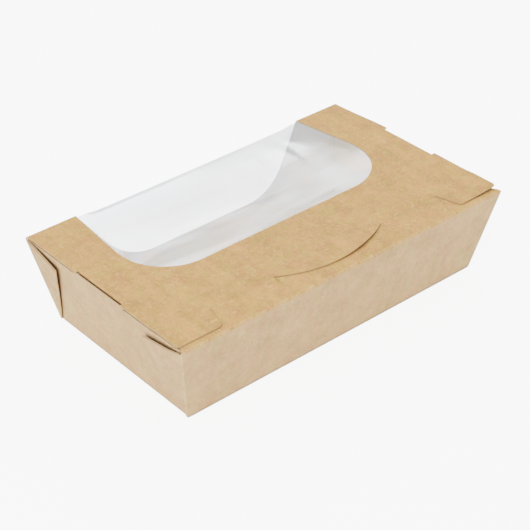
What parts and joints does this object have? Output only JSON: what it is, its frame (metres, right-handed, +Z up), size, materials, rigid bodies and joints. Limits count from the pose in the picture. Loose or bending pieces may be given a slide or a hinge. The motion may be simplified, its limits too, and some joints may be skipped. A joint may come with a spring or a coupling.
{
  "type": "takeaway box",
  "caption": "Folded kraft board takeaway box with tapered walls, a hinged lid with a wrap-round clear window and a tuck lock flap.",
  "frame": {"origin": "on the table under the middle of the base", "axes": "+X along the box, +Y towards the lid's fold and the windowed wall, +Z up; the closing flap is at -Y"},
  "size_m": [0.2, 0.121, 0.0479],
  "materials": {
    "tray_board": "matte uncoated kraft, white inner face",
    "lid_board": "matte uncoated kraft, white inner face",
    "flap_board": "matte uncoated kraft, white inner face",
    "window_film": "clear glossy film"
  },
  "bodies": {
    "tray": {"tray": "tray_board", "wall_window_film": "window_film"},
    "lid": {"lid": "lid_board", "lid_window_film": "window_film"},
    "closing_flap": {"closing_flap": "flap_board"}
  },
  "joints": [
    {"name": "lid_hinge", "type": "hinge", "parent": "tray", "child": "lid", "pos_m": [0, 0.0605, 0.04705], "axis": [-1, 0, 0], "range_deg": [0, 180]},
    {"name": "closing_flap_hinge", "type": "hinge", "parent": "tray", "child": "closing_flap", "pos_m": [0, -0.0605, 0.04705], "axis": [1, 0, 0], "range_deg": [0, 180], "deforming": ["closing_flap"]}
  ]
}
